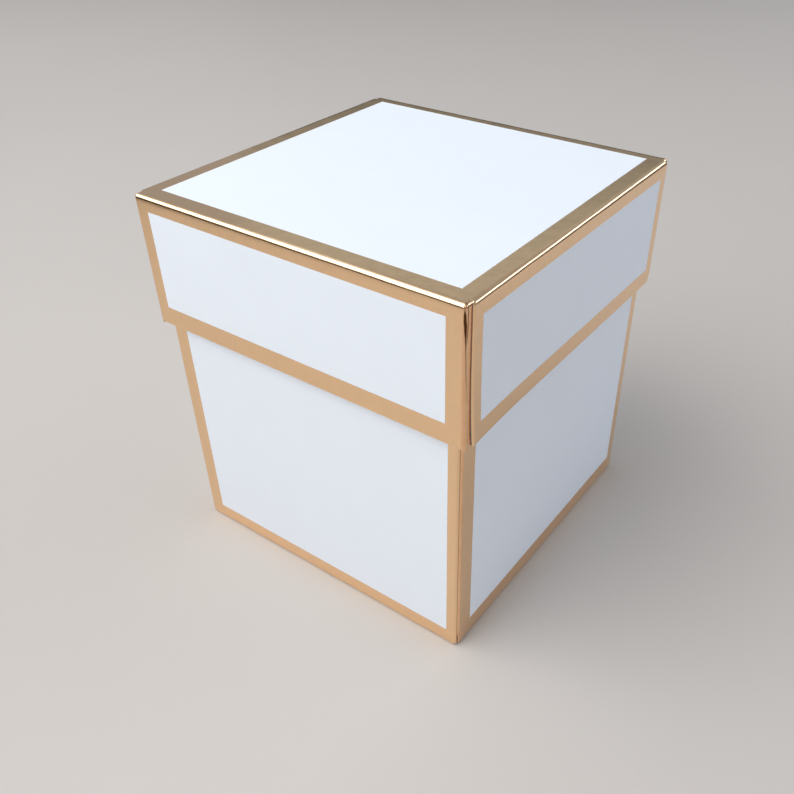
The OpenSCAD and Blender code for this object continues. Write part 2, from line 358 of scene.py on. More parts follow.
def cut_board():
    """Die-cut edge of the board: crushed plies of pulp, rough and slightly grey, in specks 0.1 mm wide."""
    core = bpy.context.scene.favorbox_board.core
    return blotted(
        "Bleached board, die-cut edge", {"Roughness": 0.9, "IOR": 1.47}, shade(core, 0.75), shade(core),
        size=0.111, detail=3, depth=0.04, strength=0.6,
    )


def board_finishes():
    """Materials of a board's outside, inside and cut edges, in that order."""
    return [coated_board(), uncoated_board(), cut_board()]


def foil_bump(tree, place):
    """Relief of foil on board: a fine peel of 0.3 mm from the fibres below, on slow waves of 4 mm."""
    waves = add(tree, "ShaderNodeTexNoise", {"Vector": place, "Scale": grain(3.85), "Detail": 1})
    peel = add(tree, "ShaderNodeTexNoise", {"Vector": place, "Scale": grain(0.333), "Detail": 2})
    low = add(tree, "ShaderNodeBump", {"Height": waves, "Distance": 0.12 * MM, "Strength": 0.4})
    return add(
        tree, "ShaderNodeBump", {"Height": peel, "Distance": 0.008 * MM, "Strength": 0.5, "Normal": low}
    )


def stamped_foil():
    """Metallised polyester foil, hot stamped on the clay coat: mirror bright, with the board's tooth just
    showing through it, and a slight haze in patches 1.4 mm across where the stamp pressed less."""
    foil = bpy.context.scene.favorbox_foil
    material, tree, shader = start_material(
        "Aluminium foil, hot stamped gold", {"Metallic": 1, "Roughness": foil.roughness}
    )
    if tree is None:
        return material
    place = add(tree, "ShaderNodeTexCoord").outputs["Object"]
    patch = add(tree, "ShaderNodeTexNoise", {"Vector": place, "Scale": grain(1.43), "Detail": 3})
    low, high = (foil.roughness * share for share in HAZE_SHARES)
    haze = add(tree, "ShaderNodeMapRange", {"Value": patch, "To Min": low, "To Max": high})
    tint = add(
        tree, "ShaderNodeMix",
        {"Factor": patch, 6: shade(foil.gold), 7: shade(foil.gold, 0.93)}, data_type="RGBA",
    )
    bump = foil_bump(tree, place)
    feed(tree, shader, {"Base Color": tint.outputs[2], "Roughness": haze, "Normal": bump})
    return material


def creased_foil(body):
    """The same foil where it is folded round a corner: rubbed copper-brown, with wavering cracks along the
    fold where the stretched foil has parted. Each crack is pressed in as a groove and painted dark, a painted
    shade of its inside. The map called fold runs round and down the fold, in millimetres."""
    foil = bpy.context.scene.favorbox_foil
    material, tree, shader = start_material(
        f"Aluminium foil, hot stamped gold, creased, {body}", {"Metallic": 1, "Roughness": foil.roughness}
    )
    if tree is None:
        return material
    place = add(tree, "ShaderNodeTexCoord").outputs["Object"]
    fold = add(tree, "ShaderNodeUVMap", uv_map="fold")
    around = add(tree, "ShaderNodeSeparateXYZ", {"Vector": fold})
    down = around.outputs["Y"]
    waver = add(tree, "ShaderNodeTexNoise", {"Vector": place, "Scale": grain(1.43), "Detail": 3})
    drift = add(
        tree, "ShaderNodeMath", {0: waver, 1: WANDER, 2: around.outputs["X"]}, operation="MULTIPLY_ADD"
    )
    lines = []
    for start, lean, reach, gape in CRACKS[body]:
        line = add(
            tree, "ShaderNodeMath", {0: down, 1: lean, 2: start + WANDER / 2}, operation="MULTIPLY_ADD"
        )
        off = add(tree, "ShaderNodeMath", {0: drift, 1: line}, operation="SUBTRACT")
        away = add(tree, "ShaderNodeMath", {0: off}, operation="ABSOLUTE")
        widening = add(
            tree, "ShaderNodeMapRange",
            {"Value": down, "From Min": OPENS[0], "From Max": OPENS[1], "To Max": gape},
            interpolation_type="SMOOTHSTEP",
        )
        width = add(
            tree, "ShaderNodeMapRange",
            {"Value": down, "From Min": CLOSES[0], "From Max": CLOSES[1], "To Min": widening, "To Max": 0},
            interpolation_type="SMOOTHSTEP",
        )
        lip = add(tree, "ShaderNodeMath", {0: width, 1: CRACK_LIP}, operation="ADD")
        depth = add(
            tree, "ShaderNodeMapRange",
            {"Value": away, "From Min": width, "From Max": lip, "To Min": 1, "To Max": 0},
        )
        fade = add(
            tree, "ShaderNodeMapRange",
            {"Value": down, "From Min": FADES_FROM * reach, "From Max": reach, "To Min": 1, "To Max": 0},
        )
        lines.append(add(tree, "ShaderNodeMath", {0: depth, 1: fade}, operation="MULTIPLY"))
    crack = add(tree, "ShaderNodeMath", {0: lines[0], 1: lines[-1]}, operation="MAXIMUM")
    wear = add(
        tree, "ShaderNodeMix", {"Factor": waver, 6: shade(foil.copper), 7: shade(foil.gold)}, data_type="RGBA"
    )
    # Inside the cracks the colour turns to the crack colour, a painted shade
    tint = add(
        tree, "ShaderNodeMix", {"Factor": crack, 6: wear.outputs[2], 7: shade(foil.crack)}, data_type="RGBA"
    )
    relief = foil_bump(tree, place)
    groove = add(
        tree, "ShaderNodeBump",
        {"Height": crack, "Distance": 0.04 * MM, "Strength": 0.8, "Normal": relief}, invert=True,
    )
    feed(tree, shader, {"Base Color": tint.outputs[2], "Normal": groove})
    return material


def cut_end_painted_shade():
    """Foil on a covering wall's die-cut end, painted dark in blots 0.1 mm wide: a painted shade of the narrow
    gap where the pressed end meets the corner strip.
    """
    foil = bpy.context.scene.favorbox_foil
    # Both colours of the blots are painted shade: the crack colour, and the worn gold darkened to 0.6
    return blotted(
        "Aluminium foil on a die-cut end, painted shade", {"Metallic": 0.8, "Roughness": 0.5},
        shade(foil.crack, 0.9), shade(foil.copper, 0.6), size=0.125, detail=2, depth=0.05, strength=0.7,
    )


def painted_floor():
    """Pale matt lacquer, rolled on: even in colour, with a soft orange peel 3 mm across."""
    studio = bpy.context.scene.favorbox_studio
    material, tree, shader = start_material("Floor, rolled matt lacquer", {"Roughness": 0.55, "IOR": 1.45})
    if tree is None:
        return material
    place = add(tree, "ShaderNodeTexCoord").outputs["Object"]
    peel = add(tree, "ShaderNodeTexNoise", {"Vector": place, "Scale": grain(2.9), "Detail": 2})
    cloud = add(tree, "ShaderNodeTexNoise", {"Vector": place, "Scale": grain(40), "Detail": 4})
    tint = add(
        tree, "ShaderNodeMix",
        {"Factor": cloud, 6: shade(studio.floor, 0.97), 7: shade(studio.floor)}, data_type="RGBA",
    )
    bump = add(tree, "ShaderNodeBump", {"Height": peel, "Distance": 0.05 * MM, "Strength": 0.3})
    feed(tree, shader, {"Base Color": tint.outputs[2], "Normal": bump})
    return material


def graded_card(finish, foot):
    """Studio card, airbrushed from its own colour at the foot to pale at the upper edge, so that it ends
    softly in the foil."""
    studio = bpy.context.scene.favorbox_studio
    material, tree, shader = start_material(f"Studio card, airbrushed {finish}", {"Roughness": 1})
    if tree is None:
        return material
    place = add(tree, "ShaderNodeTexCoord")
    height = add(tree, "ShaderNodeSeparateXYZ", {"Vector": place.outputs["Generated"]})
    spray = add(
        tree, "ShaderNodeMapRange", {"Value": height.outputs["Y"], "From Min": SPRAYED_FROM, "From Max": 1},
        interpolation_type="SMOOTHSTEP",
    )
    tint = add(
        tree, "ShaderNodeMix", {"Factor": spray, 6: shade(foot), 7: shade(studio.card_top)}, data_type="RGBA"
    )
    feed(tree, shader, {"Base Color": tint.outputs[2]})
    return material


# The folded sheet


class Tray:
    """One folded sheet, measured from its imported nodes. Its own frame stands it on its panel, with the
    covering walls at the ends of the first axis and the tab-bearing walls at the ends of the second. The
    ends are how far out those walls' faces lie. The halves are how far a wall reaches to each side: a
    covering one at its widest (face_half) and at its fold (cover_half), and a tab-bearing one (tab_half)."""

    def __init__(self, body):
        self.body = body
        self.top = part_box("lid_top_foil")[1].z
        ends, sides = ("front", "back"), ("left", "right")
        self.covering, self.tabbed = (ends, sides) if body == "base" else (sides, ends)
        self.panel_name = "base_floor" if body == "base" else "lid_top_panel"
        self.panel_foil_name = "base_floor_foil" if body == "base" else "lid_top_foil"
        cover = self.vertices(self.named(self.covering[0], "foil"))
        tabbed = self.vertices(self.named(self.tabbed[0], "foil"))
        liner = self.vertices(self.named(self.covering[0], "liner"))
        panel = self.vertices(self.panel_name)
        corner = self.vertices(f"{body}_corner_tabs")
        wall = self.vertices(self.named(self.covering[0], "wall"))
        self.cover_end = np.abs(cover[:, 0]).max()
        self.tab_end = np.abs(tabbed[:, 1]).max()
        self.height = tabbed[:, 2].max()
        self.board = np.ptp(liner[:, 0])
        self.foil = np.ptp(self.vertices(self.panel_foil_name)[:, 2])
        self.fold = self.cover_end - np.abs(panel[:, 0]).max()
        self.face_half = np.abs(wall[:, 1]).max()
        self.cover_half = np.abs(wall[wall[:, 2] < self.fold - TOUCH, 1]).max()
        self.tab_half = self.cover_end - self.board - self.fold
        self.strip = self.tab_end - self.fold - np.abs(corner[corner[:, 2] < self.fold - TOUCH, 1]).min()
        self.tab_tip = np.abs(corner[:, 1]).min()
        tip = corner[np.abs(corner[:, 1]) < self.tab_tip + TOUCH, 2]
        self.tip_low, self.tip_high = tip.min(), tip.max()
        self.drop = DROP_SHARE * self.fold
        self.roll = ROLL_SHARE * self.board

    def named(self, side, kind):
        return f"{self.body}_{side}_{kind}"

    def turned(self, points):
        """Swaps between the tray's frame and the object's. The same swap goes both ways."""
        if self.body == "base":
            return points[..., [1, 0, 2]]
        return points * (1, 1, -1) + (0, 0, self.top)

    def turned_way(self, ways):
        return ways[..., [1, 0, 2]] if self.body == "base" else ways * (1, 1, -1)

    def opened(self, points):
        """The sheet as it sits: by the lid's front right corner the right wall stands out towards its rim."""
        if self.body == "base":
            return points
        folds = bpy.context.scene.favorbox_folds
        behind = np.clip(points[..., 1] + self.tab_end, 0, OPENED_ALONG)
        reach = np.clip((points[..., 0] - self.cover_end) / OPENED_INWARD + 1, 0, 1)
        down = np.clip((points[..., 2] - OPENED_DEPTHS[0]) / np.ptp(OPENED_DEPTHS), 0, 1)
        held = HELD_SHARE + (1 - HELD_SHARE) * np.clip(behind / HELD_LENGTH, 0, 1)
        share = held * (1 - behind / OPENED_ALONG) ** 2 * reach * down ** 2
        moved = points.copy()
        moved[..., 0] += folds.opening * share
        return moved

    def vertices(self, node):
        return self.turned(np.array([v.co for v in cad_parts[node].data.vertices], float))

    def window(self, node, axis):
        """Low and high ends, along the other two axes, of the bare window on the node's outermost face."""
        points = self.vertices(node)
        side = np.abs(points[:, axis])
        outermost = side.max() if axis < 2 else side.min()
        face = np.delete(points[np.abs(side - outermost) < TOUCH], axis, axis=1)
        return face.min(0), face.max(0)


def stations(low, high, step, marks=()):
    """Places from low to high, no further apart than step, with one at each mark."""
    stops = sorted({low, high, *(m for m in marks if low < m < high)})
    places = [low]
    for a, b in zip(stops, stops[1:]):
        count = max(1, math.ceil((b - a) / step - ROUNDING))
        places += [a + (b - a) * i / count for i in range(1, count + 1)]
    return np.array(places)


def groove_marks(low, high):
    """A window's two edges with the outer edges of the groove round it."""
    width = bpy.context.scene.favorbox_foil.groove
    return [low - width, low, high, high + width]


def bare(places, low, high):
    return (places > low - TOUCH / 4) & (places < high + TOUCH / 4)


class Skin:
    """A grid of points on the outside of the sheet, with their outward ways, and where the bare window is.
    core holds the points and ways before the die pressed them, and marks says where on a fold they lie."""

    def __init__(self, points, ways, marks=None, window=None, core=None):
        self.points = points
        self.ways = ways
        self.core = (points, ways) if core is None else core
        self.marks = np.zeros(points.shape[:2] + (2,)) if marks is None else marks
        self.window = np.zeros(points.shape[:2], bool) if window is None else window

    @property
    def whole(self):
        return np.ones((self.points.shape[0] - 1, self.points.shape[1] - 1), bool)

    @property
    def foiled(self):
        """Cells with no corner in the window."""
        w = self.window
        return ~(w[:-1, :-1] | w[1:, :-1] | w[:-1, 1:] | w[1:, 1:])


class Piece:
    """Gathers the faces of one closed piece of sheet."""

    def __init__(self, tray):
        self.tray = tray
        self.index = {}
        self.places = []
        self.faces = []
        self.ways = []
        self.marks = []
        self.finishes = []

    def vertex(self, point):
        key = tuple(np.round(point / (TOUCH / 20)).astype(int))
        if key not in self.index:
            self.index[key] = len(self.places)
            self.places.append(point)
        return self.index[key]

    def face(self, points, ways, marks, finish):
        """Adds a face that looks along the mean of its ways. Returns the corners it keeps and its normal."""
        corners = [self.vertex(p) for p in points]
        keep = [i for i in range(len(corners)) if corners[i] != corners[i - 1]]
        if len(keep) < 3 or len({corners[i] for i in keep}) < 3:
            return
        normal = Vector((0, 0, 0))
        for i in range(len(keep)):
            a, b = Vector(points[keep[i - 1]]), Vector(points[keep[i]])
            normal += a.cross(b)
        if normal.length < NO_AREA:
            return
        normal.normalize()
        hint = Vector(np.mean([ways[i] for i in keep], axis=0))
        if normal.dot(hint) < 0:
            keep.reverse()
            normal = -normal
        self.faces.append([corners[i] for i in keep])
        self.marks += [tuple(marks[i]) for i in keep]
        self.finishes.append(finish)
        return keep, normal

    def smooth(self, points, ways, marks, finish):
        made = self.face(points, ways, marks, finish)
        if made:
            self.ways += [tuple(ways[i]) for i in made[0]]

    def flat(self, points, hint, marks, finish):
        made = self.face(points, [hint] * len(points), marks, finish)
        if made:
            self.ways += [tuple(made[1])] * len(made[0])

    def skin(self, skin, start, end, cells, sink=0.0, finishes=(0, 1, 2), ends=None, pressed=False):
        """Adds a layer of a skin, closed all round, between two depths below its outside. Outside the bare
        window the layer starts deeper by sink. finishes are those of its outside, inside and edges, and ends
        that of its edges across the grid's first direction. A pressed layer's inside follows the core."""
        self.index = {}
        tray = self.tray
        points, ways = tray.turned(tray.opened(skin.points)), tray.turned_way(skin.ways)
        below = skin.core if pressed else (skin.points, skin.ways)
        stepped = np.where(skin.window, 0, sink)
        outer = points - (stepped[..., None] + start) * ways
        inner = tray.turned(tray.opened(below[0])) - end * tray.turned_way(below[1])
        rows, columns = cells.shape
        for i, j in zip(*np.nonzero(cells)):
            ring = [(i, j), (i + 1, j), (i + 1, j + 1), (i, j + 1)]
            marks = [skin.marks[c] for c in ring]
            normals = [ways[c] for c in ring]
            if np.ptp([stepped[c] for c in ring]) > 0:
                self.flat([outer[c] for c in ring], np.mean(normals, axis=0), marks, finishes[0])
            else:
                self.smooth([outer[c] for c in ring], normals, marks, finishes[0])
            self.smooth([inner[c] for c in ring], [-n for n in normals], marks, finishes[1])
            middle = np.mean([points[c] for c in ring], axis=0)
            for k, (di, dj) in enumerate(((0, -1), (1, 0), (0, 1), (-1, 0))):
                beside = (i + di, j + dj)
                if 0 <= beside[0] < rows and 0 <= beside[1] < columns and cells[beside]:
                    continue
                c, d = ring[k], ring[(k + 1) % 4]
                side = [outer[c], outer[d], inner[d], inner[c]]
                hint = (points[c] + points[d]) / 2 - middle
                across = finishes[2] if ends is None or di == 0 else ends
                self.flat(side, hint, [skin.marks[c], skin.marks[d], skin.marks[d], skin.marks[c]], across)
        return self

    def finish(self, name, slot, materials):
        """Makes the object, puts it in place of the node of its name, and lets it ride on its body."""
        mesh = bpy.data.meshes.new(name)
        mesh.from_pydata([tuple(p) for p in self.places], [], self.faces)
        for material in materials:
            mesh.materials.append(material)
        mesh.polygons.foreach_set("material_index", self.finishes)
        mesh.polygons.foreach_set("use_smooth", [True] * len(self.faces))
        layer = mesh.uv_layers.new(name="fold")
        layer.data.foreach_set("uv", [x for mark in self.marks for x in mark])
        mesh.normals_split_custom_set(self.ways)
        obj = linked(name, mesh)
        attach(obj, self.tray.body)
        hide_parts(name)


def fold_profile(tray):
    """Section of a fold, from the panel round to the wall: reach from its axis, height, and outward way."""
    profile = []
    for t in np.linspace(0, math.pi / 2, FOLD_POINTS):
        x, z = math.sin(t) * tray.drop, math.cos(t) * tray.fold
        size = math.hypot(x, z)
        profile.append((tray.fold * math.sin(t), tray.drop - tray.drop * math.cos(t), x / size, -z / size))
    return profile


def settling(tray, heights):
    """Outward ways down a wall, which still turns a little below its fold."""
    settle = bpy.context.scene.favorbox_folds.settle
    lean = SETTLED * np.clip(1 - (heights - tray.drop) / settle, 0, 1) ** 2
    lean = np.where(heights < tray.drop + TOUCH, SETTLED, lean)
    return np.cos(lean), -np.sin(lean)


def turning(tray):
    """Heights of the points where a wall still turns below its fold."""
    settle = bpy.context.scene.favorbox_folds.settle
    return [tray.drop + settle * k for k in SETTLE_SHARES]


def lifting(places, end):
    """How far a panel already leans at each place, towards the fold at its end."""
    lift = bpy.context.scene.favorbox_folds.lift
    return LIFTED * np.sign(places) * np.clip(1 - (end - np.abs(places)) / lift, 0, 1) ** 2


def softened(tray, section):
    """The same section with the top of its wall and both ends of its fold turned a little to its middle."""
    section = np.array(section, float)
    lean = np.arctan2(-section[:, 3], section[:, 2])
    x, z = settling(tray, section[:, 1])
    near = (section[:, 0] > 0.5 * tray.fold) & (section[:, 1] < tray.height / 2)
    low = near & (lean < np.arctan2(-z, x))
    section[low, 2], section[low, 3] = x[low], z[low]
    high = (section[:, 0] < 0.5 * tray.fold) & (section[:, 1] < tray.drop)
    high &= lean > math.pi / 2 - LIFTED
    section[high, 2], section[high, 3] = math.sin(LIFTED), -math.cos(LIFTED)
    return section


def wall_profile(tray, roll, low, high):
    """Section of a wall from its fold to where its rolled rim meets the liner, with points at its window."""
    flat = stations(tray.drop, tray.height - roll, WALL_STEP, groove_marks(low, high) + turning(tray))
    section = fold_profile(tray) + [(tray.fold, z, 1, 0) for z in flat[1:]]
    for t in np.linspace(0, math.pi, ROUND_POINTS)[1:]:
        x, z = math.cos(t), math.sin(t)
        section.append((tray.fold - roll + roll * x, tray.height - roll + roll * z, x, z))
    return softened(tray, section)


def swept(path, section):
    """Points and ways of a section swept along a path that holds a place and an outward way in plan."""
    path, section = np.array(path, float), np.array(section, float)
    places, ways = path[:, None, :2], path[:, None, 2:4]
    shape = len(path), len(section), 1
    reach, height, out, up = (np.broadcast_to(column[None, :, None], shape) for column in section.T)
    points = np.concatenate([places + reach * ways, height], axis=2)
    return points, np.concatenate([out * ways, up], axis=2)


def mirrored(skin, first, second):
    """The same skin at the other end of the first or second axis, where its sign is -1."""
    way = np.array((first, second, 1))
    core = skin.core[0] * way, skin.core[1] * way
    return Skin(skin.points * way, skin.ways * way, skin.marks, skin.window, core)


def waver(tray, side, axis, along, section, points, ways):
    """Lets a fold stray from its crease in long and short waves, as a fold pressed by hand does. The panel's
    edge, the wall below and the fold's two ends stay where they are."""
    most = bpy.context.scene.favorbox_folds.waver
    phase = WAVES[side]
    long, short = (math.tau * along / wave for wave in WAVE_LENGTHS)
    waves = LONG_SHARE * np.sin(long + phase) + (1 - LONG_SHARE) * np.sin(short + 2 * phase)
    stray = most * waves * (1 - (along / along.max()) ** 6)
    end = tray.drop + bpy.context.scene.favorbox_folds.settle
    across = np.where(section[:, 1] < end, (section[:, 0] / tray.fold + section[:, 1] / end) / 2, 1)
    swell = np.sin(math.pi * np.clip(across, 0, 1)) ** 2
    points += (stray[:, None] * swell[None, :])[..., None] * ways
    ways[..., axis] -= np.gradient(stray, along)[:, None] * swell[None, :]
    ways /= np.linalg.norm(ways, axis=2, keepdims=True)


def wall_window(tray, along, section, low, high):
    """Which of a wall's points lie in its bare window."""
    flat = bare(section[:, 1], low[1], high[1]) & (section[:, 0] > tray.fold - TOUCH)
    return bare(along, low[0], high[0])[:, None] & flat[None, :]


def covering_skin(tray, side):
    """Skin of a covering wall at the high end of the first axis. Its ends reach past the fold and the rim,
    over the corner folds, and their edges are crushed by the die."""
    folds = bpy.context.scene.favorbox_folds
    low, high = tray.window(tray.named(side, "wall"), 0)
    crush = folds.crush
    margin = [s * (tray.face_half - k * crush) for k in CRUSH_SHARES for s in (-1, 1)]
    along = stations(-tray.face_half, tray.face_half, WALL_STEP, groove_marks(low[0], high[0]) + margin)
    section = wall_profile(tray, tray.roll, low[1], high[1])
    points, ways = swept([(tray.cover_end - tray.fold, s, 1, 0) for s in along], section)
    waver(tray, side, 1, along, section, points, ways)
    flat_ways = ways.copy()
    sink = PRESSED_SHARE * tray.board
    edge = np.clip(1 - (tray.face_half - np.abs(along)) / crush, 0, 1)[:, None]
    pressing = (sink * edge ** 2)[..., None] * ways
    ways[..., 1] += 2 * sink / crush * np.sign(along)[:, None] * edge
    ways /= np.linalg.norm(ways, axis=2, keepdims=True)
    spread = section[:, 1]
    rise = np.clip((spread / tray.fold - REACH_SHARE) / (1 - REACH_SHARE), 0, 1)
    rise *= np.clip((tray.height - tray.roll - spread) / DRAWN_IN, 0, 1)
    rise = (rise * rise * (3 - 2 * rise))[None, :]
    for sign, end in zip((-1, 1), tray.tabbed):
        reach = tray.tab_end - getattr(folds, f"{tray.body}_{side}_{end}")
        half = tray.cover_half + (reach - tray.cover_half) * rise
        fixed = abs(low[0] if sign < 0 else high[0]) + WINDOW_MARGIN
        beyond = np.clip((sign * along - fixed) / (tray.face_half - fixed), 0, 1)
        points[..., 1] += sign * beyond[:, None] * (half - tray.face_half)
    window = wall_window(tray, along, section, low, high)
    return Skin(points - pressing, ways, window=window, core=(points, flat_ways))


def tabbed_skin(tray, side):
    """Skin of a tab-bearing wall at the high end of the second axis."""
    low, high = tray.window(tray.named(side, "wall"), 1)
    along = stations(-tray.tab_half, tray.tab_half, WALL_STEP, groove_marks(low[0], high[0]))
    section = wall_profile(tray, tray.board, low[1], high[1])
    points, ways = swept([(s, tray.tab_end - tray.fold, 0, 1) for s in along], section)
    waver(tray, side, 0, along, section, points, ways)
    return Skin(points, ways, window=wall_window(tray, along, section, low, high))


def corner_skin(tray):
    """Corner fold at the high end of both axes: the ball corner, the upright fold and the strip beside it."""
    turns = np.linspace(0, math.pi / 2, ROUND_POINTS)
    x, y = tray.tab_half, tray.tab_end - tray.fold
    path = [(x, y, math.sin(t), math.cos(t)) for t in turns]
    strip = stations(0, tray.strip, STRIP_STEP)[1:]
    path += [(x, y - s, 1, 0) for s in strip]
    wall = stations(tray.drop, tray.height, CORNER_STEP, turning(tray))[1:]
    section = softened(tray, fold_profile(tray) + [(tray.fold, z, 1, 0) for z in wall])
    points, ways = swept(path, section)
    run = np.concatenate([tray.fold * turns, tray.fold * math.pi / 2 + strip])
    marks = np.stack(np.broadcast_arrays(run[:, None] / MM, np.array(section)[None, :, 1] / MM), axis=2)
    return Skin(points, ways, marks)


def tab_skin(tray):
    """Tab beyond the strip, tapering to its free end."""
    start, tip = tray.tab_end - tray.fold - tray.strip, tray.tab_tip
    along = stations(tip, start, WALL_STEP)[::-1]
    share = (start - along) / (start - tip)
    low = tray.fold + share * (tray.tip_low - tray.fold)
    high = tray.height - tray.roll
    high = high + share * (tray.tip_high - high)
    up = np.linspace(0, 1, TAB_POINTS)
    heights = low[:, None] + (high - low)[:, None] * up[None, :]
    reach = np.full_like(heights, tray.cover_end - tray.board)
    points = np.stack([reach, np.broadcast_to(along[:, None], heights.shape), heights], axis=2)
    ways = np.zeros_like(points)
    ways[..., 0] = 1
    return Skin(points, ways)


class FAVORBOX_OT_panel(bpy.types.Operator):
    """Make the panel between a tray's folds, with its foil border"""

    bl_idname = "favorbox.panel"
    bl_label = "Panel"
    tray: which_tray()

    def execute(self, context):
        tray = Tray(self.tray)
        low, high = tray.window(tray.panel_name, 2)
        ends = tray.cover_end - tray.fold, tray.tab_end - tray.fold
        lift = context.scene.favorbox_folds.lift
        first, second = (
            stations(
                -end, end, PANEL_STEP,
                [
                    -half, half, *(s * (end - k * lift) for s in (-1, 1) for k in LIFT_SHARES),
                    *groove_marks(low[axis], high[axis]),
                ],
            )
            for axis, (end, half) in enumerate(zip(ends, (tray.tab_half, tray.cover_half)))
        )
        grid = np.stack(np.meshgrid(first, second, [0.0], indexing="ij"), axis=-1)[:, :, 0]
        ways = np.zeros_like(grid)
        ways[..., 0] = np.tan(lifting(first, ends[0]))[:, None]
        ways[..., 1] = np.tan(lifting(second, ends[1]))[None, :]
        ways[..., 2] = -1
        ways /= np.linalg.norm(ways, axis=2, keepdims=True)
        window = bare(first, low[0], high[0])[:, None] & bare(second, low[1], high[1])[None, :]
        skin = Skin(grid, ways, window=window)
        middle = np.abs((first[1:] + first[:-1]) / 2), np.abs((second[1:] + second[:-1]) / 2)
        inside = (middle[0] < tray.tab_half)[:, None] | (middle[1] < tray.cover_half)[None, :]
        board = Piece(tray).skin(skin, 0, tray.board, inside, tray.foil)
        board.finish(tray.panel_name, "white_board", board_finishes())
        foil = Piece(tray).skin(skin, 0, tray.foil, inside & skin.foiled, finishes=(0, 0, 0))
        foil.finish(tray.panel_foil_name, "gold_foil", [stamped_foil()])
        return {"FINISHED"}


class FAVORBOX_OT_covering_walls(bpy.types.Operator):
    """Make the two walls that cover a tray's corner tabs, with their folds, rolled rims and foil"""

    bl_idname = "favorbox.covering_walls"
    bl_label = "Covering Walls"
    tray: which_tray()

    def execute(self, context):
        tray = Tray(self.tray)
        for side, sign in zip(tray.covering, (-1, 1)):
            skin = mirrored(covering_skin(tray, side), sign, 1)
            # The wall's cut ends take the foil material painted dark, a painted shade of the gap at the
            # corner
            board = Piece(tray).skin(skin, 0, tray.board, skin.whole, tray.foil, ends=3, pressed=True)
            board.finish(tray.named(side, "wall"), "white_board", [*board_finishes(), cut_end_painted_shade()])
            foil = Piece(tray).skin(skin, 0, tray.foil, skin.foiled, finishes=(0, 0, 0))
            foil.finish(tray.named(side, "foil"), "gold_foil", [stamped_foil()])
        return {"FINISHED"}


class FAVORBOX_OT_tabbed_walls(bpy.types.Operator):
    """Make the two walls that carry a tray's corner tabs, with their folds, rolled rims and foil"""

    bl_idname = "favorbox.tabbed_walls"
    bl_label = "Tab-bearing Walls"
    tray: which_tray()

    def execute(self, context):
        tray = Tray(self.tray)
        for side, sign in zip(tray.tabbed, (-1, 1)):
            skin = mirrored(tabbed_skin(tray, side), 1, sign)
            board = Piece(tray).skin(skin, 0, tray.board, skin.whole, tray.foil)
            board.finish(tray.named(side, "wall"), "white_board", board_finishes())
            foil = Piece(tray).skin(skin, 0, tray.foil, skin.foiled, finishes=(0, 0, 0))
            for end in (-1, 1):
                corner = mirrored(corner_skin(tray), end, sign)
                foil.skin(corner, 0, tray.foil, corner.whole, finishes=(1, 1, 1))
            foil.finish(tray.named(side, "foil"), "gold_foil", [stamped_foil(), creased_foil(self.tray)])
        return {"FINISHED"}


class FAVORBOX_OT_corner_tabs(bpy.types.Operator):
    """Make a tray's four corner tabs with their folds"""

    bl_idname = "favorbox.corner_tabs"
    bl_label = "Corner Tabs"
    tray: which_tray()

    def execute(self, context):
        tray = Tray(self.tray)
        tabs = Piece(tray)
        for first in (-1, 1):
            for second in (-1, 1):
                corner, tab = (mirrored(s, first, second) for s in (corner_skin(tray), tab_skin(tray)))
                tabs.skin(corner, tray.foil, tray.board, corner.whole, finishes=(0, 1, 2))
                tabs.skin(tab, 0, tray.board, tab.whole)
        tabs.finish(f"{tray.body}_corner_tabs", "white_board", board_finishes())
        return {"FINISHED"}


class FAVORBOX_OT_liners(bpy.types.Operator):
    """Make the flaps that a tray's walls roll over into"""

    bl_idname = "favorbox.liners"
    bl_label = "Liners"
    tray: which_tray()

    def execute(self, context):
        tray = Tray(self.tray)
        for axis, sides in enumerate((tray.covering, tray.tabbed)):
            for side in sides:
                node = tray.named(side, "liner")
                points = tray.vertices(node)
                low, high = points.min(0), points.max(0)
                sign = 1 if low[axis] + high[axis] > 0 else -1
                along = stations(low[1 - axis], high[1 - axis], WALL_STEP)
                up = stations(low[2], high[2], WALL_STEP)
                grid = np.zeros((len(along), len(up), 3))
                grid[..., axis] = min(abs(low[axis]), abs(high[axis])) * sign
                grid[..., 1 - axis] = along[:, None]
                grid[..., 2] = up[None, :]
                ways = np.zeros_like(grid)
                ways[..., axis] = -sign
                skin = Skin(grid, ways)
                liner = Piece(tray).skin(skin, 0, tray.board, skin.whole)
                liner.finish(node, "white_board", board_finishes())
        return {"FINISHED"}


